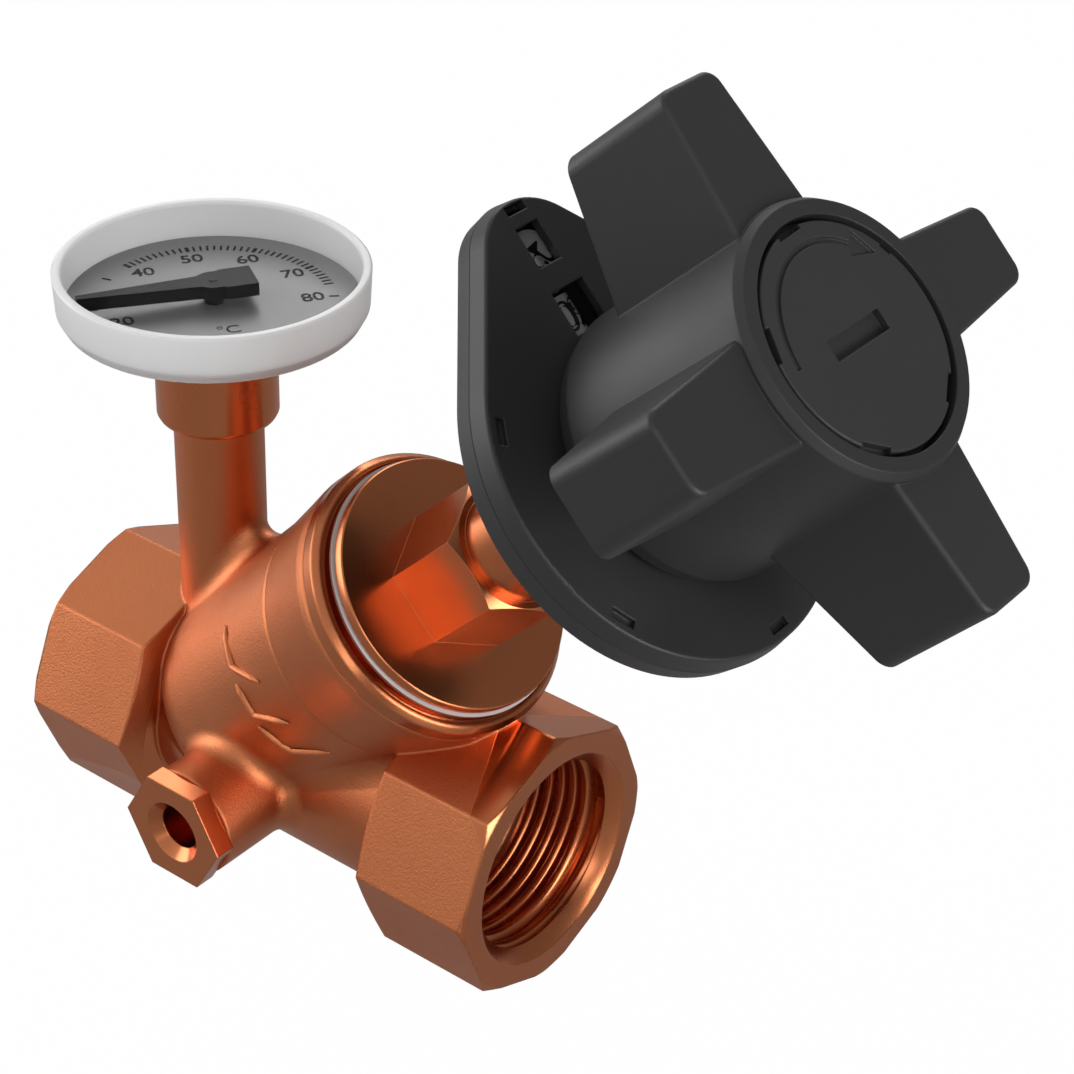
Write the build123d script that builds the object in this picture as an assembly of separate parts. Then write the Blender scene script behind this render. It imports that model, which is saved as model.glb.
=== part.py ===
from build123d import *
import math
import os

# A circulation regulating valve: an oblique-pattern bronze valve with female
# pipe threads, a dial thermometer on an upright stem, a drain plug, and a
# handwheel over a two-window travel counter.
# Origin: the middle of the inlet thread, on the pipe axis. +X is the way the
# water flows, +Z is up along the thermometer stem. Lengths are millimetres.
# The stations below are measured from where the bonnet axis meets the pipe
# axis, and the finished pieces are moved to the origin at the end.

# Pipe ends, female pipe thread of 1 inch
thread_d = 33.25
thread_length = 17.0
end_across_flats = 41.0
end_length = 20.0
inlet_x = -28.5
outlet_x = 61.0
mouth_d = 34.5
mouth_depth = 1.2
end_bevel = 0.7
end_back_slope = 1.8
run_d = 31.2
run_bore_d = 25.0

# Oblique neck of the body, measured along the bonnet axis
bonnet_angle = 45.0
neck_top = 55.0
neck_foot = -3.5
neck_foot_d = 39.0
neck_foot_round = 11.0
neck_rim_bevel = 0.9
run_blend = 4.0
cast_blend = 3.0
neck_top_d = 43.8
neck_swell = 0.9
swell_drop = 17.0
rim_drop = 5.0
neck_lines = (38.3, 51.6)
line_depth = 0.25
chamber_d = 33.0
seat_face = 5.0
seat_d = 21.0
seat_web = 3.0

# Stem, probe and dial thermometer
stem_x = -5.6
stem_d = 13.8
stem_root = 8.0
stem_top = 60.0
stem_bore_d = 8.6
collar_d = 18.6
collar_bottom = 52.3
cup_d = 47.0
cup_top = 77.0
cup_height = 8.5
cup_wall = 1.4
cup_floor = 1.6
cup_round = 2.6
dial_thick = 0.5
window_thick = 0.6
window_drop = 0.6
probe_d = 7.0
probe_foot = 26.0
pointer_length = 20.4
pointer_tail = 6.2
pointer_width = 6.0
pointer_waist = 3.8
pointer_tip_width = 1.2
pointer_height = 2.05
pointer_wall = 0.4
pointer_hub_d = 5.4
pointer_lift = 1.45
arbor_d = 1.4
post_d = 3.0
pointer_heading = 238.0

# Drain boss and plug on the near side
drain_x = 12.9
drain_boss_d = 17.4
drain_boss_y = 28.6
drain_hex = 16.4
drain_head = 3.4
drain_thread_d = 10.0
drain_depth = 8.0
drain_hole_d = 7.0
drain_mouth_d = 10.2
drain_bevel = 1.6
drain_way_d = 4.0
drain_seat_depth = 2.0

# Bonnet
flange_d = 39.0
flange_face = 58.4
flange_thick = 2.0
skirt_length = 9.0
bonnet_hex = 19.0
hex_top = 73.3
hex_bevel = 0.7
tube_d = 16.8
tube_top = 106.0
spindle_d = 8.0
seal_groove_d = 11.0
seal_stations = (91.0, 96.0)
gasket_d = flange_d + 0.8
gasket_width = 1.4
gasket_thick = 0.5
recess_gap = 0.5
skirt_inset = 1.4
flare_round = 6.0
thrust_bore_d = 13.0
thrust_foot = flange_face - 6.5
thrust_top = flange_face - 1.0

# Travel counter housing behind the handwheel
house_back = 102.4
house_split = 105.5
house_face = 108.5
house_round_d = 59.0
house_tip_d = 22.0
house_tip_n = 28.4
house_wall = 1.4
house_lean = 0.6
tower_d = 20.0
# each window and slot: its place across and up, its width and height
windows = ((0.35, 32.1, 4.7, 6.0), (0.65, 22.3, 6.7, 6.4), (0.2, 37.6, 3.9, 1.3))
light_hole = (-1.4, 34.4, 4.0, 2.8)
rim_slots = (30, 150, -32, -148, -90)
rim_slot_r = 27.0
rim_slot_width = 1.3
rim_slot_length = 3.7

# Counter wheels
drum_d = 7.6
drum_s = 103.0
drum_from = 18.9
drum_to = 25.0
drum_journal_d = 2.0
bearing_thick = 0.9
star_teeth = 10
star_d = 6.4
star_root_d = 4.0
star_from = 14.4
star_to = 16.6
disc_d = 9.4
disc_n = 30.2
disc_t = 0.9
disc_s = 105.2
disc_thick = 0.9
disc_pin_d = 1.6
disc_pin_foot_d = 2.6
driver_d = 33.0
driver_ring_d = 28.0
driver_pegs = 10

# Handwheel
wheel_foot = 108.9
wheel_face = 146.0
hub_foot_d = 39.6
hub_face_d = 37.0
hub_wall = 2.2
foot_round = 3.0
arm_reach = 37.2
arm_tip_width = 11.4
arm_root_width = 15.0
arm_front = 144.3
arm_back_tip = 126.0
arm_back_root = 121.0
arm_lean = 0.8
arm_shoulder = 16.0
arm_corner = 2.4
arm_inner_corner = 0.3
arm_edge = 0.8
cap_d = 30.6
cap_groove_d = 32.0
cap_recess = 0.5
cap_thick = 2.0
cap_slots = (93, 163, 236, 309)
arrow_r = 12.6
boss_d = 15.0
square = 6.0
square_foot = 120.0
well_floor = 136.0
well_d = 9.0
screw_d = 3.2
screw_head_d = 7.2
screw_key = 2.5

# Spindle and regulating plug
travel_turns = 4.0
spindle_pitch = 1.5
spindle_thread_d = 6.6
spindle_foot = 8.0
spindle_shoulder = 64.0
spindle_top = 135.6
plug_d = 16.4
plug_length = 24.0
running_gap = 0.05
face_gap = 0.02

lean = math.radians(bonnet_angle)
bonnet_axis = (math.cos(lean), 0, math.sin(lean))
bonnet_place = Plane(origin=(0, 0, 0), x_dir=(0, 1, 0), z_dir=bonnet_axis).location
closing_lift = travel_turns * spindle_pitch
origin_x = inlet_x + (mouth_depth + thread_length) / 2


def turned(points):
    """A solid turned about Z from its half section of (radius, height) points."""
    face = make_face(Polyline([(r, 0, z) for r, z in points], close=True))
    return revolve(face, Axis.Z, 360)


def rod(d, z0, z1):
    return Pos(0, 0, z0) * Cylinder(d / 2, z1 - z0, align=(Align.CENTER, Align.CENTER, Align.MIN))


def ring(d_out, d_in, z0, z1):
    return rod(d_out, z0, z1) - rod(d_in, z0 - 1, z1 + 1)


def slab(width, depth, z0, z1):
    block = Box(width, depth, z1 - z0, align=(Align.CENTER, Align.CENTER, Align.MIN))
    return Pos(0, 0, z0) * block


def hexagon(across_flats, z0, z1, turn=0):
    outline = Rot(0, 0, turn) * RegularPolygon(across_flats / 2, 6, major_radius=False)
    return Pos(0, 0, z0) * extrude(outline, z1 - z0)


def along_x(shape):
    return Rot(0, 90, 0) * shape


def toward_viewer(shape):
    """Turns a shape built up Z so that it points along -Y."""
    return Rot(90, 0, 0) * shape


def on_bonnet(shape):
    """Places a shape whose axes are: x across the valve, y up and back, z out along the bonnet."""
    return bonnet_place * shape


def octagon_end(x_outer, direction):
    """One threaded end: an octagon with a corner on top, bevelled outside and coned to the run."""
    corner_r = end_across_flats / 2 / math.cos(math.pi / 8)
    prism = extrude(RegularPolygon(corner_r, 8), end_length + 3)
    cone = turned([
        (0, 0), (corner_r - 1.2, 0), (corner_r, end_bevel), (corner_r, end_length),
        (run_d / 2 + 0.6, end_length + end_back_slope), (0, end_length + end_back_slope)])
    turn = Rot(0, -90, 0) if direction > 0 else Rot(0, 90, 0)
    return Pos(x_outer, 0, 0) * turn * (prism & cone)


def bore_from(x_outer, direction):
    """The thread hole, its countersink and the smaller bore behind it."""
    cut = turned([
        (0, -1), (mouth_d / 2, -1), (mouth_d / 2, 0), (thread_d / 2, mouth_depth),
        (thread_d / 2, thread_length), (run_bore_d / 2, thread_length + 3), (0, thread_length + 3)])
    turn = Rot(0, -90, 0) if direction > 0 else Rot(0, 90, 0)
    return Pos(x_outer, 0, 0) * turn * cut


def cast_onto(base, piece, radius):
    """Joins a piece to the casting and fillets the seam between them."""
    whole = base + piece
    old = [(e.length, e.center()) for e in base.edges() + piece.edges()]

    def is_new(edge):
        return all(
            abs(edge.length - length) > 0.001 or (edge.center() - at).length > 0.001
            for length, at in old)

    simple = (GeomType.LINE, GeomType.CIRCLE)
    seam = [e for e in whole.edges() if e.geom_type not in simple and is_new(e)]
    return fillet(seam, radius)


def make_neck():
    """The oblique neck: a round foot, a slightly tapering barrel and a wider rim."""
    foot_r = neck_foot_d / 2
    top_r = neck_top_d / 2
    flat_r = foot_r - neck_foot_round
    barrel_foot = neck_foot + neck_foot_round
    turn = neck_foot_round * math.sqrt(0.5)
    sole = Line((0, 0, neck_foot), (flat_r, 0, neck_foot))
    heel = ThreePointArc(
        (flat_r, 0, neck_foot), (flat_r + turn, 0, barrel_foot - turn), (foot_r, 0, barrel_foot))
    side = Polyline([
        (foot_r, 0, barrel_foot), (foot_r + neck_swell, 0, neck_top - swell_drop),
        (top_r, 0, neck_top - rim_drop), (top_r, 0, neck_top - neck_rim_bevel),
        (top_r - neck_rim_bevel, 0, neck_top), (0, 0, neck_top)])
    core = Line((0, 0, neck_top), (0, 0, neck_foot))
    return on_bonnet(revolve(make_face([sole, heel, *side.edges(), core]), Axis.Z, 360))


def make_body():
    run = along_x(rod(run_d, inlet_x + end_length / 2, outlet_x - end_length / 2))
    stem = Pos(stem_x, 0, 0) * rod(stem_d, stem_root, stem_top)
    boss = Pos(drain_x, 0, 0) * toward_viewer(rod(drain_boss_d, 0, drain_boss_y))
    body = cast_onto(make_neck(), run, run_blend)
    body = cast_onto(body, stem, cast_blend)
    body = cast_onto(body, boss, cast_blend)
    body += octagon_end(outlet_x, 1) + octagon_end(inlet_x, -1)
    # the water way: inlet under the seat, outlet over it, chamber up the neck
    span = outlet_x - inlet_x
    way = along_x(rod(run_bore_d, inlet_x + thread_length, outlet_x - thread_length))
    under = on_bonnet(slab(4 * span, 4 * span, seat_face - seat_web - 2 * span, seat_face - seat_web))
    over = on_bonnet(slab(4 * span, 4 * span, seat_face, seat_face + 2 * span))
    body -= (way & under) + (way & over)
    body -= on_bonnet(rod(chamber_d, seat_face + 8, neck_top + 1))
    body -= on_bonnet(rod(seat_d + 5, seat_face, seat_face + 9))
    body -= on_bonnet(rod(seat_d, seat_face - seat_web - 1, seat_face + 1))
    body -= bore_from(outlet_x, 1) + bore_from(inlet_x, -1)
    # seating for the bonnet flange in the top of the neck
    seat_top = flange_face - flange_thick - gasket_thick - 2 * face_gap
    bore_d = flange_d - 2 * skirt_inset + 0.2
    body += on_bonnet(ring(gasket_d - 0.6, bore_d, neck_top - 3.0, seat_top))
    body -= on_bonnet(ring(gasket_d + 2 * recess_gap, gasket_d - 0.6, neck_top - 1.0, neck_top + 1))
    body -= on_bonnet(rod(bore_d, neck_top - skirt_length - 2, neck_top + 1))
    # two turned lines round the neck, stopping short of the run and the outlet end
    run_zone = rod(run_d + 2 * run_blend, inlet_x, outlet_x)
    end_zone = rod(end_across_flats + 5, outlet_x - end_length - 3, outlet_x)
    for s in neck_lines:
        r = neck_radius(s)
        groove = on_bonnet(turned([(r - line_depth, s), (r + 0.2, s - 0.5), (r + 0.2, s + 0.5)]))
        body -= groove - along_x(run_zone + end_zone)
    # probe hole down the stem, and the drain hole
    body -= Pos(stem_x, 0, 0) * rod(stem_bore_d, probe_foot - 2, stem_top + 1)
    drain = rod(drain_thread_d, drain_boss_y - drain_depth - 2, drain_boss_y + 1)
    drain += rod(drain_way_d, 10, drain_boss_y)
    body -= Pos(drain_x, 0, 0) * toward_viewer(drain)
    return body


def neck_radius(s):
    """Outside radius of the neck at a station on the bonnet axis."""
    low, high = neck_top - swell_drop, neck_top - rim_drop
    low_r = neck_foot_d / 2 + neck_swell
    share = min(max((s - low) / (high - low), 0), 1)
    return low_r + share * (neck_top_d / 2 - low_r)


def make_drain_plug():
    face = drain_boss_y + drain_head
    foot = drain_boss_y - drain_depth
    hole_end = foot + drain_seat_depth
    head = hexagon(drain_hex, drain_boss_y + running_gap, face)
    shank = rod(drain_thread_d - 2 * running_gap, foot, drain_boss_y + 1)
    mouth = turned([
        (0, hole_end), (drain_hole_d / 2, hole_end), (drain_hole_d / 2, face - drain_bevel),
        (drain_mouth_d / 2, face), (drain_mouth_d / 2, face + 1), (0, face + 1)])
    return Pos(drain_x, 0, 0) * toward_viewer(head + shank - mouth)


def make_bonnet():
    flange_foot = flange_face - flange_thick
    skirt_foot = neck_top - skirt_length
    r = flange_d / 2
    core = turned([
        (0, skirt_foot), (r - skirt_inset, skirt_foot), (r - skirt_inset, flange_foot),
        (r - 0.4, flange_foot), (r, flange_foot + 0.4), (r, flange_face - 0.5),
        (r - 0.5, flange_face), (bonnet_hex / 2 + 5.0, flange_face), (0, flange_face + 1)])
    prism = hexagon(bonnet_hex, flange_face - 0.5, hex_top, 30)
    corner_r = bonnet_hex / math.sqrt(3)
    bevel = turned([
        (0, flange_face - 1), (corner_r + 1, flange_face - 1), (corner_r + 1, hex_top - hex_bevel - 0.3),
        (bonnet_hex / 2 - 0.1, hex_top), (0, hex_top)])
    flare = turned_flare(bonnet_hex / 2 - 0.6, flange_face, flare_round)
    tube = rod(tube_d, flange_face, tube_top)
    hollow = rod(chamber_d - 6, skirt_foot - 1, thrust_foot + 0.1)
    bore = rod(spindle_d + 2 * running_gap, skirt_foot - 1, tube_top + 1)
    groove = [ring(seal_groove_d, spindle_d - 1, s - 1, s + 1) for s in seal_stations]
    thrust = rod(thrust_bore_d, thrust_foot, thrust_top)
    return on_bonnet(core + (prism & bevel) + flare + tube - hollow - bore - groove - thrust)


def turned_flare(r, z, flare_r):
    """The concave fillet where the hexagon runs out into the flange face."""
    wall = Line((r, 0, z + flare_r), (0, 0, z + flare_r))
    bite = flare_r * (1 - math.sqrt(0.5))
    arc = ThreePointArc((r + flare_r, 0, z), (r + bite, 0, z + bite), (r, 0, z + flare_r))
    rim = Line((0, 0, z), (r + flare_r, 0, z))
    core = Line((0, 0, z + flare_r), (0, 0, z))
    return revolve(make_face([rim, arc, wall, core]), Axis.Z, 360)


def house_outline(grow=0.0):
    """The teardrop of the counter housing: a large round on the axis and a small one at the tip."""
    big = Circle(house_round_d / 2 + grow)
    small = Pos(0, house_tip_n) * Circle(house_tip_d / 2 + grow)
    return make_hull(big.edges() + small.edges())


def house_block(z0, z1, grow0, grow1):
    low = Pos(0, 0, z0) * house_outline(grow0)
    high = Pos(0, 0, z1) * house_outline(grow1)
    return loft([low, high])


def drum_bay(extra, top):
    """The pocket for the number drum and its star wheel, bulging out of the back."""
    z0 = drum_s - drum_d / 2 - 0.4 - extra
    width = drum_d + 0.8 + 2 * extra
    height = drum_to - star_from + 5 + 2 * extra
    return Pos(0, (star_from + drum_to + 3) / 2, 0) * slab(width, height, z0, top)


def make_indicator_base():
    shell = house_block(house_back, house_split, -0.3, 0)
    pocket = house_block(house_back + house_wall, house_split + 0.1, -house_wall - 0.3, -house_wall)
    base = shell - pocket + drum_bay(0.9, house_back + house_wall) - drum_bay(0, house_split)
    seat = rod(tower_d, house_back, house_split - 0.2)
    base = base + seat - rod(tube_d + 2 * face_gap, house_back - 1, house_split + 1)
    # bearings for the drum shaft, and the pin of the turns disc
    for n in (drum_from - 0.9, drum_to + 1.6):
        base += Pos(0, n, 0) * slab(drum_d + 1, bearing_thick, house_back - 1.5, drum_s + 1.3)
    journal_hole = rod(drum_journal_d + 2 * running_gap, star_from - 2, drum_to + 4)
    base -= Pos(0, 0, drum_s) * Rot(-90, 0, 0) * journal_hole
    # the light hole behind the turns window
    t, n, w, h = light_hole
    base -= Pos(t, n, house_back - 1) * Box(w, h, 4)
    return on_bonnet(base)


def make_indicator_cover():
    shell = house_block(house_split + face_gap, house_face, -face_gap, -house_lean)
    pocket = house_block(house_split - 0.1, house_face - house_wall, -house_wall, -house_wall - 0.4)
    cover = shell - pocket
    cover = fillet(cover.faces().sort_by(Axis.Z)[-1].outer_wire().edges(), 0.5)
    cover -= rod(driver_d + 0.8, house_split, house_face + 1)
    for t, n, w, h in windows:
        cover -= Pos(t, n, house_face) * Box(w, h, 2 * house_wall + 1)
    slot = Pos(rim_slot_r, 0, house_face) * Box(rim_slot_width, rim_slot_length, 1.6)
    for angle in rim_slots:
        cover -= Rot(0, 0, angle) * slot
    return on_bonnet(cover)


def make_tenths_drum():
    """One moulding: a number drum, a star wheel of ten teeth, and the journals."""
    turn = Rot(-90, 0, 0)
    drum = rod(drum_d, drum_from, drum_to)
    star = rod(star_root_d, star_from, drum_from)
    tooth = Pos(star_d / 4 + 0.4, 0, 0) * slab(star_d / 2 - 0.8, 0.7, star_from, star_to)
    for k in range(star_teeth):
        star += Rot(0, 0, (k + 0.5) * 360 / star_teeth) * tooth
    star -= rod(star_root_d + 2, star_to + 0.4, drum_from - 0.4)
    star += rod(drum_journal_d, star_from - 0.5, drum_to + 2.6)
    return on_bonnet(Pos(0, 0, drum_s) * turn * (drum + star))


def make_turns_disc():
    disc = rod(disc_d, disc_s, disc_s + disc_thick)
    for k in range(10):
        disc += Rot(0, 0, 36 * k) * Pos(disc_d / 2 - 0.9, 0, disc_s - 0.35) * Box(1.4, 0.6, 0.75)
    disc -= rod(disc_pin_d + 2 * running_gap, disc_s - 1, disc_s + disc_thick + 1)
    return on_bonnet(Pos(disc_t, disc_n, 0) * disc)


def make_disc_pin():
    floor = house_back + house_wall
    pin = rod(disc_pin_d, floor, disc_s + disc_thick + 0.3)
    pin += rod(disc_pin_foot_d, floor, disc_s - 0.9)
    return on_bonnet(Pos(disc_t, disc_n, 0) * pin)


def make_drive_ring():
    """Carries ten short pegs past the star wheel."""
    body = ring(driver_d - 0.4, driver_ring_d - 2, house_face - 1.4, wheel_foot + 1.6)
    peg = slab(2.0, 0.8, drum_s + star_d / 2 + 0.3, house_face - 1)
    for k in range(driver_pegs):
        body += Rot(0, 0, k * 360 / driver_pegs) * Pos(driver_ring_d / 2 + 0.8, 0, 0) * peg
    return on_bonnet(body)


def hub_radius(s):
    share = (s - wheel_foot) / (wheel_face - wheel_foot)
    return hub_foot_d / 2 + share * (hub_face_d - hub_foot_d) / 2


def arm_plan(root, tip, reach, corner):
    """Plan of an arm pointing up: parallel at the hub, then tapering to a tip with round corners."""
    half = [(root, 0), (root, arm_shoulder), (tip, reach)]
    face = make_face(Polyline([*half, *[(-x, y) for x, y in reversed(half)]], close=True))
    return fillet(face.vertices().group_by(Axis.Y)[-1], corner)


def arm_block(inset, corner, deeper):
    """One arm: it widens a little towards the back, and its underside rises to the tip."""
    reach = arm_reach - inset
    root = arm_root_width / 2 - inset
    tip = arm_tip_width / 2 - inset
    foot = arm_back_root - deeper
    front = arm_plan(root, tip, reach, corner)
    back = arm_plan(root + arm_lean, tip + arm_lean, reach + arm_lean, corner)
    block = loft([Pos(0, 0, arm_back_root - 4) * back, Pos(0, 0, arm_front - inset) * front])
    under = make_face(Polyline([
        (0, 0, foot), (0, arm_shoulder, foot), (0, reach + 4, arm_back_tip + 0.9 - deeper),
        (0, reach + 4, wheel_face), (0, 0, wheel_face)], close=True))
    return block & extrude(under, 2 * arm_root_width, dir=(1, 0, 0), both=True)


def make_handwheel():
    r0, r1 = hub_radius(wheel_foot + 4), hub_face_d / 2
    hub = turned([
        (0, wheel_foot), (r0 - 2.4, wheel_foot), (r0 - 0.9, wheel_foot + 1.3), (r0, wheel_foot + 4),
        (r1 + 0.3, wheel_face - 1.2), (r1 - 0.5, wheel_face), (0, wheel_face)])
    arm = arm_block(0, arm_corner, 0)
    arm = fillet(arm.edges().group_by(Axis.Z)[-1], arm_edge)
    arms = [Rot(0, 0, 90 * k) * arm for k in range(4)]
    wheel = hub + arms
    ring_r = driver_d / 2 + running_gap
    wheel -= turned([
        (boss_d / 2, wheel_foot - 1), (ring_r, wheel_foot - 1), (ring_r, wheel_foot + 1.7),
        (r0 - hub_wall, wheel_foot + 4), (r1 - hub_wall, arm_front - 4), (boss_d / 2, arm_front - 4)])
    hollow = arm_block(hub_wall, arm_inner_corner, 2.0) - rod(hub_face_d - 1, wheel_foot, wheel_face)
    for k in range(4):
        wheel -= Rot(0, 0, 90 * k) * hollow
    # recess for the cap, the screw well and the square hole for the spindle
    wheel -= rod(cap_groove_d, wheel_face - cap_recess - cap_thick, wheel_face + 1)
    wheel -= rod(well_d, well_floor, wheel_face)
    square_hole = square + 2 * running_gap
    wheel -= slab(square_hole, square_hole, square_foot, well_floor + 1)
    wheel -= rod(spindle_d + 0.4, wheel_foot - 1, square_foot + 2)
    return on_bonnet(wheel)


def make_cap():
    top = wheel_face - cap_recess + 0.3
    disc = rod(cap_d, wheel_face - cap_recess - cap_thick + face_gap, top)
    disc = fillet(disc.edges().group_by(Axis.Z)[-1], 0.3)
    disc -= Pos(0, 0, top) * Box(11.6, 2.9, 2.4)
    for angle in cap_slots:
        disc -= Rot(0, 0, angle) * Pos(cap_d / 2, 0, top) * Box(1.6, 4.6, 2.6)
    disc -= Rot(0, 0, 28) * Pos(cap_d / 2, 0, top) * Box(1.2, 1.8, 2.6)
    # the arrow that shows which way closes
    band = ring(2 * arrow_r + 0.8, 2 * arrow_r - 0.8, top - 0.4, top + 1)
    wedge = extrude(make_face(Polyline([(0, 0), (20, 0), (20, 30), (-20, 25)], close=True)), top + 5)
    disc -= band & (Rot(0, 0, 50) * wedge)
    head = extrude(make_face(Polyline([(10.9, 0), (14.7, 0), (12.8, -4.2)], close=True)), 0.4, both=True)
    disc -= Rot(0, 0, 51) * Pos(0, 0, top) * head
    return on_bonnet(disc)


def make_spindle():
    body = rod(spindle_d, spindle_shoulder, square_foot + 1)
    body += rod(thrust_bore_d - 0.4, thrust_foot + 1.9, thrust_top - 0.2)
    body += rod(spindle_thread_d, spindle_foot, spindle_shoulder)
    body += slab(square, square, square_foot, spindle_top)
    body -= rod(screw_d + 2 * running_gap, spindle_top - 9, spindle_top + 1)
    return on_bonnet(body)


def make_screw():
    z0 = well_floor + face_gap
    r = screw_head_d / 2
    head = turned([(0, z0), (r, z0), (r, z0 + 1.6), (r - 0.6, z0 + 2.4), (0, z0 + 2.4)])
    head -= hexagon(screw_key, z0 + 1.0, z0 + 3.0)
    return on_bonnet(head + rod(screw_d, spindle_top - 8.1, z0 + 0.2))


def make_spindle_seals():
    section = (seal_groove_d - spindle_d) / 4 - 0.03
    rings = [Pos(0, 0, s) * Torus((seal_groove_d + spindle_d) / 4, section) for s in seal_stations]
    return on_bonnet(Compound(children=rings))


def make_thrust_clip():
    return on_bonnet(ring(thrust_bore_d, spindle_thread_d + 0.6, thrust_foot + 0.3, thrust_foot + 1.7))


def make_regulating_plug():
    """A hollow plug that rides up and down on the spindle thread and does not turn."""
    z0 = seat_face + closing_lift
    thread_r = spindle_thread_d / 2 + 0.1
    seat_r = seat_d / 2
    body = turned([
        (thread_r, z0 - 2), (thread_r + 1.2, z0 - 4.5), (seat_r - 2.2, z0 - 4.5), (seat_r - 0.5, z0),
        (seat_r - 0.5, z0 + 1.0), (seat_r + 2.2, z0 + 1.0), (seat_r + 2.2, z0 + 3),
        (plug_d / 2, z0 + 6), (plug_d / 2, z0 + plug_length), (thread_r, z0 + plug_length)])
    return on_bonnet(body)


def make_plug_seal():
    z0 = seat_face + closing_lift
    return on_bonnet(Pos(0, 0, z0) * ring(seat_d + 4.0, seat_d - 0.96, 0.03, 0.98))


def make_gasket():
    top = flange_face - flange_thick - face_gap
    return on_bonnet(ring(gasket_d, gasket_d - 2 * gasket_width, top - gasket_thick, top))


def make_cup():
    r = cup_d / 2
    z0 = cup_top - cup_height
    cup = turned([
        (0, z0), (r - cup_round - 0.6, z0), (r - 1.2, z0 + 0.9), (r - 0.3, z0 + cup_round),
        (r, cup_top - 0.3), (r - 0.3, cup_top), (r - cup_wall + 0.2, cup_top),
        (r - cup_wall, cup_top - 0.3), (r - cup_wall, z0 + cup_floor), (0, z0 + cup_floor)])
    return Pos(stem_x, 0, 0) * (cup - rod(post_d, z0 - 1, cup_top))


def make_collar():
    z0 = collar_bottom
    z1 = cup_top - cup_height - face_gap
    z2 = stem_top + face_gap
    r = collar_d / 2
    inner_r = stem_d / 2 + 0.03
    body = turned([
        (inner_r, z0 + 0.6), (r - 0.9, z0), (r - 0.3, z0 + 0.2), (r, z0 + 0.8), (r, z1),
        (stem_bore_d / 2, z1), (stem_bore_d / 2, z2), (inner_r, z2)])
    return Pos(stem_x, 0, 0) * body


def make_dial():
    z0 = cup_top - cup_height + cup_floor + 0.5
    r = cup_d / 2 - cup_wall - 0.03
    plate = rod(2 * r, z0, z0 + dial_thick) + ring(2 * r, 2 * r - 1.6, z0 - 0.48, z0 + 0.1)
    return Pos(stem_x, 0, 0) * (plate - rod(post_d + face_gap, z0 - 1, z0 + 2))


def dial_top():
    return cup_top - cup_height + cup_floor + 0.5 + dial_thick


def make_post():
    z0 = cup_top - cup_height
    post = rod(post_d - 0.04, z0 + 0.1, dial_top() + pointer_lift + 0.3)
    post -= rod(arbor_d + 2 * running_gap, z0 - 1, cup_top)
    return Pos(stem_x, 0, 0) * post


def pointer_outline(inset, reach):
    """Half plan of the pointer, mirrored: a broad tail, a waist at the post and a long taper."""
    w0 = pointer_width / 2 - inset
    w1 = pointer_waist / 2 - inset
    w2 = pointer_tip_width / 2 - inset
    tail = pointer_tail - inset
    half = [(-tail, w0), (-1.5, w0), (0, w1), (reach, w2)]
    return make_face(Polyline([*half, *[(x, -y) for x, y in reversed(half)]], close=True))


def make_pointer():
    """A pointer folded from sheet, open below."""
    z0 = dial_top() + pointer_lift
    blade = extrude(pointer_outline(0, pointer_length), pointer_height)
    inside = extrude(pointer_outline(pointer_wall, 0.6 * pointer_length), pointer_height + 0.6)
    hollow = Pos(0, 0, -1) * inside
    hub = rod(pointer_hub_d, 0, pointer_height)
    plate = blade - hollow + hub - rod(post_d + 0.3, -1, pointer_height - pointer_wall)
    turn = Rot(0, 0, pointer_heading)
    return Pos(stem_x, 0, z0) * (turn * plate - rod(arbor_d + face_gap, -1, pointer_height + 1))


def make_arbor():
    top = dial_top() + pointer_lift + pointer_height + 0.1
    return Pos(stem_x, 0, 0) * rod(arbor_d, probe_foot + 8, top)


def make_window():
    r = cup_d / 2 - cup_wall - 0.03
    return Pos(stem_x, 0, 0) * rod(2 * r, cup_top - window_drop - window_thick, cup_top - window_drop)


def make_probe():
    z1 = cup_top - cup_height - 2 * face_gap
    tube = rod(probe_d, probe_foot, z1) - rod(probe_d - 1.2, probe_foot + 1, z1 + 1)
    tube += ring(stem_bore_d - 0.06, probe_d - 0.5, stem_top, z1)
    return Pos(stem_x, 0, 0) * tube


def make_coil():
    coil = ring(4.6, 3.9, probe_foot + 2, probe_foot + 22) + rod(4.6, probe_foot + 1.05, probe_foot + 2)
    return Pos(stem_x, 0, 0) * coil


parts = {
    "valve_body": make_body,
    "drain_plug": make_drain_plug,
    "bonnet": make_bonnet,
    "bonnet_gasket": make_gasket,
    "spindle": make_spindle,
    "spindle_seals": make_spindle_seals,
    "thrust_clip": make_thrust_clip,
    "regulating_plug": make_regulating_plug,
    "plug_seal": make_plug_seal,
    "indicator_base": make_indicator_base,
    "indicator_cover": make_indicator_cover,
    "tenths_drum": make_tenths_drum,
    "turns_disc": make_turns_disc,
    "disc_pin": make_disc_pin,
    "drive_ring": make_drive_ring,
    "handwheel": make_handwheel,
    "handwheel_cap": make_cap,
    "handwheel_screw": make_screw,
    "dial_cup": make_cup,
    "dial_collar": make_collar,
    "dial_plate": make_dial,
    "dial_post": make_post,
    "dial_pointer": make_pointer,
    "pointer_arbor": make_arbor,
    "dial_window": make_window,
    "probe_tube": make_probe,
    "probe_coil": make_coil,
}

os.makedirs("parts", exist_ok=True)
for name, make in parts.items():
    export_step(Pos(-origin_x, 0, 0) * make(), f"parts/{name}.step")
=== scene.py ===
import bmesh
import bpy
import math
from mathutils import Matrix, Vector


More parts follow.
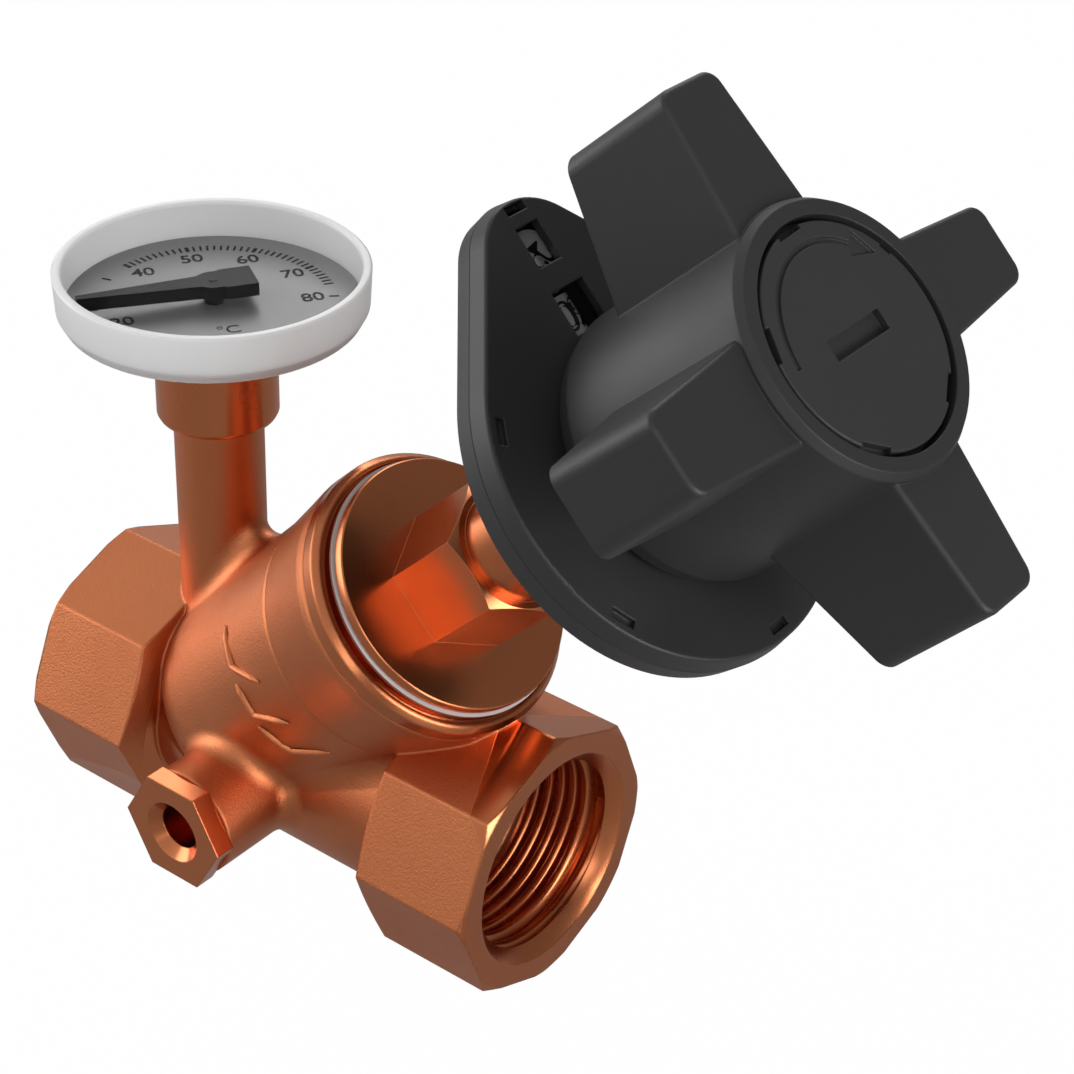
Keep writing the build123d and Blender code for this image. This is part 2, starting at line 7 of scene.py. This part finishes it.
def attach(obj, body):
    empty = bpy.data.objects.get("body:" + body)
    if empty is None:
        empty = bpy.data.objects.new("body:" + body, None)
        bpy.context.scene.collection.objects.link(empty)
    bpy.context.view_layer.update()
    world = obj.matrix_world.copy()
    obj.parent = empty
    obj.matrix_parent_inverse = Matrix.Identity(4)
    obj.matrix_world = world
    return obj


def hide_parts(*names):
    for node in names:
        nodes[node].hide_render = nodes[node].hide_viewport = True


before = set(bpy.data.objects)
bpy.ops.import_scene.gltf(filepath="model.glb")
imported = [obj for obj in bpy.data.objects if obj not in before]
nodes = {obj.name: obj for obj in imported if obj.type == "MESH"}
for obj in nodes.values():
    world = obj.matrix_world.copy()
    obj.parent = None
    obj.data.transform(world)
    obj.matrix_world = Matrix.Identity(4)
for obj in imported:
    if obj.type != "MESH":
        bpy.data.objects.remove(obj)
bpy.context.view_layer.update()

# places
# The origin is the middle of the inlet thread. t, n and s are the bonnet's own axes, from where it
# meets the pipe axis: across the valve, up and back, and out along the bonnet. Lengths here are in
# millimetres, and MM turns them into the scene's metres. Floor and lights are placed in metres.
MM = 0.001
LEAN = math.radians(45.0)
AXIS = Vector((math.cos(LEAN), 0.0, math.sin(LEAN)))
UP_BACK = Vector((-math.sin(LEAN), 0.0, math.cos(LEAN)))
ACROSS = Vector((0.0, 1.0, 0.0))
CENTRE = Vector((0.0194, 0.0, 0.0))
INLET_X, OUTLET_X = -9.1, 80.4
STEM_X = 13.8
DRAIN_X = 32.3
DIAL_TOP = 71.1


def on_bonnet(t, n, s):
    return CENTRE + (ACROSS * t + UP_BACK * n + AXIS * s) * MM


# materials
class Look:
    """One procedural material: a Principled shader and the nodes that feed it."""

    def __init__(self, name, color, metallic=0.0, roughness=0.5, **sockets):
        self.mat = bpy.data.materials.new(name)
        self.mat.use_nodes = True
        self.tree = self.mat.node_tree
        self.bsdf = self.tree.nodes["Principled BSDF"]
        self.bsdf.inputs["Base Color"].default_value = (*color, 1.0)
        self.bsdf.inputs["Metallic"].default_value = metallic
        self.bsdf.inputs["Roughness"].default_value = roughness
        for key, value in sockets.items():
            self.bsdf.inputs[key.replace("_", " ")].default_value = value
        self.place = self.tree.nodes.new("ShaderNodeTexCoord").outputs["Object"]

    def node(self, kind, inputs=(), **settings):
        made = self.tree.nodes.new(kind)
        for key, value in settings.items():
            setattr(made, key, value)
        for key, value in dict(inputs).items():
            if isinstance(value, bpy.types.NodeSocket):
                self.tree.links.new(value, made.inputs[key])
            else:
                made.inputs[key].default_value = value
        return made

    def math(self, operation, a, b):
        return self.node("ShaderNodeMath", {0: a, 1: b}, operation=operation).outputs[0]

    def vector_math(self, operation, output, *values):
        made = self.node("ShaderNodeVectorMath", enumerate(values), operation=operation)
        return made.outputs[output]

    def axis(self, which):
        return self.node("ShaderNodeSeparateXYZ", {0: self.place}).outputs[which]

    def noise(self, size_mm, detail=3.0, rough=0.55, place=None):
        made = self.node("ShaderNodeTexNoise", {
            "Vector": place or self.place, "Scale": 1.0 / (size_mm * MM), "Detail": detail,
            "Roughness": rough})
        return made.outputs["Fac"]

    def ramp(self, value, low, high, out_low=0.0, out_high=1.0):
        made = self.node("ShaderNodeMapRange", {
            "Value": value, "From Min": low, "From Max": high, "To Min": out_low,
            "To Max": out_high})
        made.clamp = True
        return made.outputs["Result"]

    def mix_color(self, share, a, b):
        made = self.tree.nodes.new("ShaderNodeMix")
        made.data_type = "RGBA"
        for socket, value in ((made.inputs[0], share), (made.inputs[6], a), (made.inputs[7], b)):
            if isinstance(value, bpy.types.NodeSocket):
                self.tree.links.new(value, socket)
            else:
                socket.default_value = value if isinstance(value, float) else (*value, 1.0)
        return made.outputs[2]

    def step(self, value, edge_mm, way):
        """0 before an edge and 1 past it, blended over a tenth of a millimetre."""
        return self.ramp(value, edge_mm * MM, (edge_mm + 0.1 * way) * MM)

    def feed(self, socket, value):
        self.tree.links.new(value, self.bsdf.inputs[socket])

    def bump(self, height, depth_mm, strength=1.0, edge_mm=0.0):
        inputs = {"Height": height, "Distance": depth_mm * MM, "Strength": strength}
        if edge_mm:
            rounded = self.node("ShaderNodeBevel", {"Radius": edge_mm * MM}, samples=6)
            inputs["Normal"] = rounded.outputs["Normal"]
        self.feed("Normal", self.node("ShaderNodeBump", inputs).outputs["Normal"])


def distance_from(look, point, direction):
    """Distance of a surface point from a line, in metres."""
    offset = look.vector_math("SUBTRACT", "Vector", look.place, tuple(point))
    cross = look.vector_math("CROSS_PRODUCT", "Vector", offset, tuple(direction))
    return look.vector_math("LENGTH", "Value", cross)


def station_along(look, point, direction):
    """How far along a line a surface point lies, in metres."""
    offset = look.vector_math("SUBTRACT", "Vector", look.place, tuple(point))
    return look.vector_math("DOT_PRODUCT", "Value", offset, tuple(direction))


BRONZE = (0.62, 0.205, 0.086)
BRONZE_DEEP = (0.50, 0.150, 0.060)
BLACK = (0.024, 0.024, 0.025)


def cast_bronze():
    """Blasted castings, with machined ends, mouths and neck top."""
    face_skin, thread_depth, mouth_r = 0.35, 17.0, 17.4
    neck_top_s, neck_bore_r = 51.5, 18.6
    cast_rough, turned_rough, turned_grain = 0.36, 0.2, 0.08
    look = Look("cast_bronze", BRONZE, metallic=1.0, roughness=0.4)

    def either(a, b):
        return look.math("MAXIMUM", a, b)

    x = look.axis("X")
    off_pipe = distance_from(look, (0, 0, 0), (1, 0, 0))
    off_bonnet = distance_from(look, CENTRE, AXIS)
    faces = either(look.step(x, OUTLET_X - face_skin, 1), look.step(x, INLET_X + face_skin, -1))
    near_end = either(look.step(x, OUTLET_X - thread_depth, 1),
                      look.step(x, INLET_X + thread_depth, -1))
    bore = look.math("MULTIPLY", look.step(off_pipe, mouth_r, -1), near_end)
    neck = either(look.step(station_along(look, CENTRE, AXIS), neck_top_s, 1),
                  look.step(off_bonnet, neck_bore_r, -1))
    turned = either(faces, either(bore, neck))
    grain = look.noise(0.34, 4.0, 0.65)
    cloud = look.noise(14.0, 2.0)
    look.feed("Roughness", look.math("ADD", look.ramp(turned, 0, 1, cast_rough, turned_rough),
                                     look.ramp(cloud, 0.3, 0.7, -0.03, 0.05)))
    deep = look.ramp(cloud, 0.25, 0.8, 0.0, 0.45)
    look.feed("Base Color", look.mix_color(deep, BRONZE, BRONZE_DEEP))
    height = look.math("MULTIPLY", grain, look.ramp(turned, 0, 1, 1.0, turned_grain))
    look.bump(height, 0.075, edge_mm=0.7)
    return look.mat


def turned_bronze(name, point, direction, roughness, edge_mm=0.3):
    """Lathe-turned bronze, with fine tool marks round its axis."""
    look = Look(name, BRONZE, metallic=1.0, roughness=roughness)
    radius = distance_from(look, point, direction)
    station = station_along(look, point, direction)
    marks = look.node("ShaderNodeCombineXYZ", {0: radius, 1: station}).outputs[0]
    lines = look.noise(0.22, 2.0, 0.5, place=marks)
    cloud = look.noise(9.0, 2.0)
    look.feed("Roughness", look.ramp(cloud, 0.3, 0.7, roughness - 0.02, roughness + 0.05))
    deep = look.ramp(cloud, 0.3, 0.8, 0.0, 0.3)
    look.feed("Base Color", look.mix_color(deep, BRONZE, BRONZE_DEEP))
    look.bump(lines, 0.006, 0.5, edge_mm=edge_mm)
    return look.mat


def moulded_black(name, color=BLACK, roughness=0.46):
    """Glass-filled black plastic with a fine spark-eroded grain."""
    look = Look(name, color, roughness=roughness, Specular_IOR_Level=0.42)
    grain = look.noise(0.3, 3.0, 0.6)
    cloud = look.noise(22.0, 2.0)
    broad = look.ramp(cloud, 0.3, 0.7, roughness - 0.04, roughness + 0.04)
    look.feed("Roughness", look.math("ADD", broad, look.ramp(grain, 0.3, 0.7, -0.03, 0.03)))
    look.bump(grain, 0.02, 0.7, edge_mm=0.35)
    return look.mat


def milky_plastic():
    """White plastic that light passes into evenly in every colour."""
    look = Look("milky_plastic", (0.93, 0.93, 0.925), roughness=0.32,
                Subsurface_Weight=0.9, Subsurface_Scale=6.0 * MM, Subsurface_Radius=(1.0, 1.0, 1.0))
    look.bump(look.noise(1.4, 2.0), 0.012, 0.6, edge_mm=0.3)
    return look.mat


def painted(name, color, roughness, metallic=0.0, shine=0.5):
    look = Look(name, color, roughness=roughness, metallic=metallic, Specular_IOR_Level=shine)
    grain = look.noise(0.25, 2.0)
    look.feed("Roughness", look.ramp(grain, 0.3, 0.7, roughness - 0.03, roughness + 0.03))
    look.bump(grain, 0.004, 0.5)
    return look.mat


def clear_plastic():
    look = Look("clear_plastic", (0.02, 0.02, 0.02), roughness=0.04, Alpha=0.03,
                Specular_IOR_Level=0.1)
    look.bump(look.noise(8.0, 1.0), 0.01, 0.2)
    return look.mat


def brushed_steel():
    look = Look("bright_steel", (0.62, 0.61, 0.59), metallic=1.0, roughness=0.28)
    lines = look.noise(0.3, 2.0)
    look.feed("Roughness", look.ramp(lines, 0.3, 0.7, 0.22, 0.34))
    look.bump(lines, 0.004, 0.5)
    return look.mat


def soft_rubber(name, color):
    look = Look(name, color, roughness=0.5)
    look.bump(look.noise(0.4, 2.0), 0.01, 0.5)
    return look.mat


def gasket_edge():
    """A thin seal: its rim shows as one pale line under the flange, over a dark red-brown that is
    painted shade of the gap and painted reflection of the bronze round it.
    """
    # The pale grey is the seal's own colour; the dark red-brown under it is painted shade and painted
    # bronze reflection of the gap.
    gap_shade, pale = (0.2, 0.06, 0.03), (0.55, 0.53, 0.53)
    line_s, line_blend = 56.31, 0.02
    look = Look("gasket_edge", gap_shade, roughness=0.45)
    station = station_along(look, CENTRE, AXIS)
    line = look.ramp(station, line_s * MM, (line_s + line_blend) * MM)
    look.feed("Base Color", look.mix_color(line, gap_shade, pale))
    look.bump(look.noise(0.4, 2.0), 0.01, 0.5)
    return look.mat


cast = cast_bronze()
bonnet_metal = turned_bronze("turned_bronze", CENTRE, AXIS, 0.23, edge_mm=0.12)
stem_metal = turned_bronze("turned_collar", (STEM_X * MM, 0, 0), (0, 0, 1), 0.24)
plug_metal = turned_bronze("turned_plug", (DRAIN_X * MM, 0, 0), (0, 1, 0), 0.2)
thread_metal = turned_bronze("thread_bronze", (0, 0, 0), (1, 0, 0), 0.26, edge_mm=0.0)
black = moulded_black("moulded_black")
black_cap = moulded_black("cap_black", (0.027, 0.027, 0.028), 0.5)
milky = milky_plastic()
dial_paint = painted("dial_grey", (0.27, 0.27, 0.27), 0.42, metallic=0.35)
pointer_paint = painted("pointer_black", (0.004, 0.004, 0.004), 0.42, shine=0.2)
print_black = painted("print_black", (0.006, 0.006, 0.006), 0.5, shine=0.2)
wheel_grey = painted("wheel_grey", (0.34, 0.34, 0.34), 0.5)
steel = brushed_steel()
brass = turned_bronze("spindle_metal", CENTRE, AXIS, 0.25)
grey_seal = gasket_edge()
black_seal = soft_rubber("black_seal", (0.02, 0.02, 0.02))
clear = clear_plastic()

FINISH = {
    "valve_body": cast, "drain_plug": plug_metal,
    "bonnet": bonnet_metal, "bonnet_gasket": grey_seal, "spindle": brass, "spindle_seals": black_seal,
    "thrust_clip": steel, "regulating_plug": brass, "plug_seal": black_seal,
    "indicator_base": black, "indicator_cover": black, "tenths_drum": wheel_grey,
    "turns_disc": wheel_grey, "disc_pin": steel, "drive_ring": black,
    "handwheel": black, "handwheel_cap": black_cap, "handwheel_screw": steel,
    "dial_cup": milky, "dial_collar": stem_metal, "dial_plate": dial_paint, "dial_post": pointer_paint,
    "dial_pointer": pointer_paint, "pointer_arbor": pointer_paint, "dial_window": clear,
    "probe_tube": brass, "probe_coil": steel}

for name, finish in FINISH.items():
    mesh = nodes[name].data
    mesh.materials.clear()
    mesh.materials.append(finish)


# helpers
def piece_from(name, verts, faces, material, body, smooth=True):
    """One object of the scene, riding on a body of the frame."""
    mesh = bpy.data.meshes.new(name)
    mesh.from_pydata([tuple(v) for v in verts], [], faces)
    mesh.validate()
    mesh.materials.append(material)
    made = bpy.data.objects.new(name, mesh)
    bpy.context.collection.objects.link(made)
    if smooth:
        for face in mesh.polygons:
            face.use_smooth = True
    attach(made, body)
    return made


def text_mesh(words, height_mm, thick_mm=0.04, weight_mm=0.0):
    """Flat lettering in the XY plane, centred on the origin, as a bmesh in millimetres."""
    digit_share = 0.7  # how much of the font's size a digit is tall
    curve = bpy.data.curves.new("words", "FONT")
    curve.body = words
    curve.align_x, curve.align_y = "CENTER", "CENTER"
    curve.size = height_mm / digit_share
    curve.offset = weight_mm
    curve.extrude = thick_mm / 2
    holder = bpy.data.objects.new("words", curve)
    bpy.context.collection.objects.link(holder)
    bpy.context.view_layer.update()
    final = holder.evaluated_get(bpy.context.evaluated_depsgraph_get())
    mesh = bpy.data.meshes.new_from_object(final)
    made = bmesh.new()
    made.from_mesh(mesh)
    bpy.data.objects.remove(holder)
    low = [min(v.co[k] for v in made.verts) for k in (0, 1)]
    high = [max(v.co[k] for v in made.verts) for k in (0, 1)]
    middle = Vector(((low[0] + high[0]) / 2, (low[1] + high[1]) / 2, 0))
    for v in made.verts:
        v.co -= middle
    return made


def merge(name, pieces, material, body):
    """Several (bmesh, placing function) pairs as one object."""
    verts, faces = [], []
    for source, place in pieces:
        base = len(verts)
        source.verts.index_update()
        verts += [place(v.co) for v in source.verts]
        faces += [[base + v.index for v in f.verts] for f in source.faces]
        source.free()
    piece_from(name, verts, faces, material, body, smooth=False)


def bar(width, length, thick=0.04):
    """A printed bar, its length along X."""
    made = bmesh.new()
    bmesh.ops.create_cube(made, size=1.0)
    for v in made.verts:
        v.co = Vector((v.co.x * length, v.co.y * width, v.co.z * thick))
    return made


def on_neck(s, degrees, r):
    """A point round the bonnet axis: 0 degrees is the drain plug's side, 90 is up and back."""
    a = math.radians(degrees)
    return on_bonnet(-r * math.cos(a), r * math.sin(a), s)


def ring_faces(rings, around, base=0):
    """The faces between rings of points, each ring closed on itself."""
    faces = []
    for i in range(rings - 1):
        for k in range(around):
            a, b = base + i * around + k, base + i * around + (k + 1) % around
            faces.append((a, b, b + around, a + around))
    return faces


def strip_faces(rows, width):
    """The faces between rows of points, each row open."""
    return [(i * width + j, (i + 1) * width + j, (i + 1) * width + j + 1, i * width + j + 1)
            for i in range(rows - 1) for j in range(width - 1)]


def shade_by_angle(made, degrees):
    """Keeps edges sharper than this angle crisp."""
    same_point = 0.002
    work = bmesh.new()
    work.from_mesh(made.data)
    bmesh.ops.remove_doubles(work, verts=work.verts, dist=same_point * MM)
    bmesh.ops.recalc_face_normals(work, faces=work.faces)
    for edge in work.edges:
        if len(edge.link_faces) == 2:
            edge.smooth = edge.calc_face_angle(0.0) < math.radians(degrees)
    work.to_mesh(made.data)
    work.free()


# bonnet
def dressed_bonnet():
    """The bonnet as the photograph shows it: a flat turned flange right up to the hexagon."""
    around = 128
    bore, tube, tube_end = 4.1, 8.4, 106.0
    skirt, skirt_end, skirt_bevel = 18.1, 46.0, 0.2
    under, spigot = 56.4, 19.1
    rim, rim_bevel, face = 19.5, 0.4, 58.4
    hex_top, hex_half, hex_steps, hex_drop, hex_root = 73.3, 9.5, 24, 1.0, 0.5
    profile = (
        (bore, skirt_end), (skirt - skirt_bevel, skirt_end), (skirt, skirt_end + skirt_bevel),
        (skirt, under), (spigot, under), (rim, under + rim_bevel), (rim, face - rim_bevel),
        (rim - 0.08, face - 0.2), (rim - 0.25, face - 0.06), (rim - 0.5, face), (tube, face),
        (tube, tube_end), (bore, tube_end), (bore, skirt_end))
    verts = [on_neck(s, 360.0 * k / around, r) for r, s in profile for k in range(around)]
    faces = ring_faces(len(profile), around)
    base, inset = len(verts), 0.1
    corner = hex_half / math.cos(math.pi / 6)
    for k in range(6 * hex_steps):
        a = math.radians(60.0 * k / hex_steps - 30.0)
        flat_middle = math.radians(60.0 * (k // hex_steps))
        r = hex_half / math.cos(a - flat_middle)
        top = hex_top - hex_drop * (r - hex_half + inset) / (corner - hex_half + inset)
        for at, s in ((r, face - hex_root), (r, top), (hex_half - inset, hex_top), (tube, hex_top)):
            verts.append(on_bonnet(at * math.cos(a), at * math.sin(a), s))
    count, tall = 6 * hex_steps, 4
    for k in range(count):
        a, b = base + tall * k, base + tall * ((k + 1) % count)
        faces += [(a + j, b + j, b + j + 1, a + j + 1) for j in range(tall - 1)]
    made = piece_from("bonnet_dressed", verts, faces, bonnet_metal, "valve")
    shade_by_angle(made, 25.0)
    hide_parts("bonnet")


dressed_bonnet()


# raised flow chevrons on the neck
def neck_radius(s):
    """The cast neck widens slowly from its foot and faster under its top."""
    foot_s, swell_s, top_s = 7.5, 38.0, 50.0
    foot_r, swell_r, top_r = 19.5, 20.4, 21.9
    if s < swell_s:
        return foot_r + (swell_r - foot_r) * (s - foot_s) / (swell_s - foot_s)
    return swell_r + (top_r - swell_r) * min((s - swell_s) / (top_s - swell_s), 1.0)


def cast_ridge(name, *path):
    """A low rounded rib on the neck along (station, degrees) points, tapering to its ends."""
    half_width, height, steps = 0.62, 0.5, 14
    tip_share, taper_steps = 0.3, 4
    section = (
        (-1.0, -0.25), (-0.62, 0.55), (-0.25, 0.93), (0.25, 0.93), (0.62, 0.55), (1.0, -0.25))
    line = []
    for (s0, a0), (s1, a1) in zip(path, path[1:]):
        line += [(s0 + (s1 - s0) * k / steps, a0 + (a1 - a0) * k / steps) for k in range(steps)]
    line.append(path[-1])
    last = len(line) - 1
    verts = []
    for i, (s, a) in enumerate(line):
        back, ahead = line[max(i - 1, 0)], line[min(i + 1, last)]
        ds, da = ahead[0] - back[0], math.radians(ahead[1] - back[1]) * neck_radius(s)
        size = math.hypot(ds, da)
        taper = min(1.0, tip_share + (1 - tip_share) * min(i, last - i) / taper_steps)
        for across, rise in section:
            off = across * half_width * taper
            at_s = s - off * da / size
            at_a = a + math.degrees(off * ds / size / neck_radius(s))
            verts.append(on_neck(at_s, at_a, neck_radius(at_s) + rise * height * taper))
    width = len(section)
    faces = strip_faces(len(line), width)
    faces += [tuple(range(width)), tuple(range(last * width, (last + 1) * width))[::-1]]
    made = piece_from(name, verts, faces, cast, "valve")
    shade_by_angle(made, 70.0)


cast_ridge("flow_mark_1", (26.0, 40.2), (26.45, 20.5), (31.8, 8.6))
cast_ridge("flow_mark_2", (26.1, 13.4), (26.2, -2.2), (32.1, -12.8))
cast_ridge("flow_mark_3", (25.6, -7.3), (26.75, -24.6), (32.7, -34.7))


# dial print
DIAL_READS = 57.0  # the print's reading direction on the dial, in degrees
NUMERAL_R, TICK_R, UNIT_R = 14.6, 17.8, 9.5


def on_dial(radius, degrees, turn):
    """Places lettering on the dial at a radius and angle, turned about its own middle."""
    proud = 0.02
    a, b = math.radians(degrees), math.radians(turn)

    def place(p):
        x = p.x * math.cos(b) - p.y * math.sin(b) + radius * math.cos(a)
        y = p.x * math.sin(b) + p.y * math.cos(b) + radius * math.sin(a)
        return Vector((x + STEM_X, y, DIAL_TOP + proud + p.z)) * MM
    return place


def scale_angle(degrees_c):
    """Where a temperature stands on the scale, in degrees."""
    forty_at, per_degree = 181.0, 3.37
    return forty_at - (degrees_c - 40.0) * per_degree


def tick(degrees_c, width):
    angle = scale_angle(degrees_c)
    return bar(width, 1.5), on_dial(TICK_R, angle, angle)


merge("dial_print", [
    *((text_mesh(str(t), 2.5, weight_mm=0.05), on_dial(NUMERAL_R, scale_angle(t), DIAL_READS))
      for t in range(20, 90, 10)),
    *(tick(t, 0.34 if t % 10 else 0.6) for t in range(40, 77)),
    *(tick(t, 0.36) for t in (20, 25, 30, 35, 80)),
    (text_mesh("°C", 2.3), on_dial(UNIT_R, 327, DIAL_READS))], print_black, "valve")


# counter digits, in places round each wheel, with 36 degrees to each number
def digit_on_disc(k):
    """The 4 stands in the upper window, upright for the viewer."""
    centre_t, centre_n, face_s, shown = 0.9, 30.2, 106.12, 4
    upright, aside, out = -41.0, -0.9, 1.6
    turn = math.radians(36.0 * (k - shown) + upright)

    def place(p):
        x, y = p.x + aside, p.y + out
        u = x * math.cos(turn) - y * math.sin(turn)
        v = x * math.sin(turn) + y * math.cos(turn)
        return on_bonnet(centre_t + u, centre_n + v, face_s + p.z)
    return place


def digit_on_drum(k):
    """The 0 stands in the lower window, turned a little from its middle."""
    drum_n, drum_s, drum_r, proud, aside = 22.0, 103.0, 3.8, 0.08, 8.0

    def place(p):
        a = p.x / drum_r - math.radians(36.0 * k + aside)
        r = drum_r + proud + p.z
        return on_bonnet(r * math.sin(a), drum_n + p.y, drum_s + r * math.cos(a))
    return place


merge("disc_digits", [(text_mesh(str(k), 3.0, weight_mm=0.05), digit_on_disc(k))
                      for k in range(0, 10, 2)], print_black, "disc")
merge("drum_digits", [(text_mesh(str(k), 4.3, weight_mm=0.1), digit_on_drum(k))
                      for k in range(10)], print_black, "drum")


# pipe threads
def pipe_thread(name, x_mouth, inward):
    """The ridges of a 1 inch parallel pipe thread, and the countersink that they run out into."""
    pitch, wall, crest = 2.309, 16.63, 15.15
    around, length, first, run_in = 96, 14.4, 2.5, 48
    steps = int(length / pitch * around)
    section = (
        (-0.5, 0.0), (-0.28, 0.84), (-0.2, 0.98), (0.0, 1.0), (0.2, 0.98), (0.28, 0.84), (0.5, 0.0))
    countersink = ((0.1, 17.22), (1.96, 15.36), (2.12, 15.32), (2.6, 16.66))

    def at(depth, r, a):
        return Vector((x_mouth + inward * depth, r * math.cos(a), r * math.sin(a))) * MM

    verts = []
    for i in range(steps + 1):
        rise = (wall - crest) * min(1.0, i / run_in, (steps - i) / run_in)
        for along, share in section:
            depth = first + pitch * (i / around + along + 0.5)
            verts.append(at(depth, wall - rise * share, 2 * math.pi * i / around * inward))
    faces = strip_faces(steps + 1, len(section))
    ring = ring_faces(len(countersink), around, len(verts))
    if inward > 0:
        faces = [(a, d, c, b) for a, b, c, d in faces]
    else:
        ring = [face[::-1] for face in ring]
    verts += [at(depth, r, 2 * math.pi * k / around)
              for depth, r in countersink for k in range(around)]
    faces += ring
    piece_from(name, verts, faces, thread_metal, "valve")


pipe_thread("outlet_thread_ridges", OUTLET_X, -1)
pipe_thread("inlet_thread_ridges", INLET_X, 1)


# floor, light and camera
def seen_white(kinds, links, plain, white, share=1.0):
    """Mixes a plain shader with a white one that only camera and transmission rays see."""
    path = kinds.new("ShaderNodeLightPath")
    seen = kinds.new("ShaderNodeMath")
    seen.operation = "MAXIMUM"
    links.new(path.outputs["Is Camera Ray"], seen.inputs[0])
    links.new(path.outputs["Is Transmission Ray"], seen.inputs[1])
    part = kinds.new("ShaderNodeMath")
    part.operation = "MULTIPLY"
    links.new(seen.outputs[0], part.inputs[0])
    part.inputs[1].default_value = share
    blend = kinds.new("ShaderNodeMixShader")
    links.new(part.outputs[0], blend.inputs[0])
    links.new(plain, blend.inputs[1])
    links.new(white, blend.inputs[2])
    return blend.outputs[0]


def floor_look():
    look = Look("studio_floor", (0.36, 0.36, 0.36), roughness=0.7)
    look.bump(look.noise(3.0), 0.02, 0.2)
    glow = look.node("ShaderNodeEmission", {"Strength": 1.03}).outputs[0]
    output = next(n for n in look.tree.nodes if n.type == "OUTPUT_MATERIAL")
    shown = seen_white(look.tree.nodes, look.tree.links, look.bsdf.outputs[0], glow, share=0.95)
    look.tree.links.new(shown, output.inputs["Surface"])
    return look.mat


FLOOR_Z, FLOOR_HALF = -0.075, 3.0
corners = [(x * FLOOR_HALF, y * FLOOR_HALF, FLOOR_Z) for x, y in ((-1, -1), (1, -1), (1, 1), (-1, 1))]
floor_mesh = bpy.data.meshes.new("floor")
floor_mesh.from_pydata(corners, [], [(0, 1, 2, 3)])
floor_mesh.materials.append(floor_look())
floor = bpy.data.objects.new("floor", floor_mesh)
bpy.context.collection.objects.link(floor)

# The world is white to the eye, and a fill that is stronger from the left for everything else.
world = bpy.data.worlds.new("studio")
bpy.context.scene.world = world
world.use_nodes = True
tree = world.node_tree
tree.nodes.clear()
toward = tree.nodes.new("ShaderNodeVectorMath")
toward.operation = "DOT_PRODUCT"
toward.inputs[1].default_value = (-0.88, -0.47, -0.05)
tree.links.new(tree.nodes.new("ShaderNodeTexCoord").outputs["Generated"], toward.inputs[0])
level = tree.nodes.new("ShaderNodeMapRange")
tree.links.new(toward.outputs["Value"], level.inputs["Value"])
for socket, value in (("From Min", -0.6), ("From Max", 0.8), ("To Min", 0.22), ("To Max", 0.85)):
    level.inputs[socket].default_value = value
fill = tree.nodes.new("ShaderNodeBackground")
white = tree.nodes.new("ShaderNodeBackground")
for background in (fill, white):
    background.inputs["Color"].default_value = (1.0, 1.0, 1.0, 1.0)
tree.links.new(level.outputs["Result"], fill.inputs["Strength"])
white.inputs["Strength"].default_value = 1.0
output = tree.nodes.new("ShaderNodeOutputWorld")
shown = seen_white(tree.nodes, tree.links, fill.outputs[0], white.outputs[0])
tree.links.new(shown, output.inputs["Surface"])


def soft_light(name, place, width, height, watts):
    """A rectangular softbox that faces the middle of the valve."""
    middle = Vector((0.05, 0.0, 0.05))
    lamp = bpy.data.lights.new(name, "AREA")
    lamp.shape = "RECTANGLE"
    lamp.size, lamp.size_y = width, height
    lamp.energy = watts
    holder = bpy.data.objects.new(name, lamp)
    bpy.context.collection.objects.link(holder)
    holder.location = place
    holder.rotation_euler = (middle - Vector(place)).to_track_quat("-Z", "Y").to_euler()


soft_light("key_softbox", (-1.08, -0.5, 0.3), 0.9, 0.7, 5.4)
soft_light("front_softbox", (0.72, -0.8, 0.6), 0.5, 0.5, 1.5)
soft_light("right_softbox", (1.2, -0.12, 0.2), 0.6, 0.6, 9.0)
soft_light("rear_softbox", (-0.45, 0.75, 0.8), 0.6, 0.6, 3.2)

# The camera stands where the perspective fit to the photograph's outlines puts it.
CAMERA_MM = (260.21, -246.54, 248.55)
YAW, PITCH, ROLL = math.radians(36.90), math.radians(32.14), math.radians(1.97)
SENSOR_MM, LENS_MM = 36.0, 87.49
forward = Vector((
    -math.sin(YAW) * math.cos(PITCH), math.cos(YAW) * math.cos(PITCH), -math.sin(PITCH)))
level_right = Vector((math.cos(YAW), math.sin(YAW), 0.0))
level_up = level_right.cross(forward)
right = level_right * math.cos(ROLL) + level_up * math.sin(ROLL)
up = -level_right * math.sin(ROLL) + level_up * math.cos(ROLL)
lens = bpy.data.cameras.new("camera")
lens.sensor_fit = "HORIZONTAL"
lens.sensor_width = SENSOR_MM
lens.lens = LENS_MM
lens.clip_start, lens.clip_end = 0.01, 20.0
camera = bpy.data.objects.new("camera", lens)
bpy.context.collection.objects.link(camera)
aim = Matrix((right, up, -forward)).transposed().to_4x4()
camera.matrix_world = Matrix.Translation(Vector(CAMERA_MM) * MM) @ aim
bpy.context.scene.camera = camera
bpy.context.scene.view_settings.view_transform = "Standard"
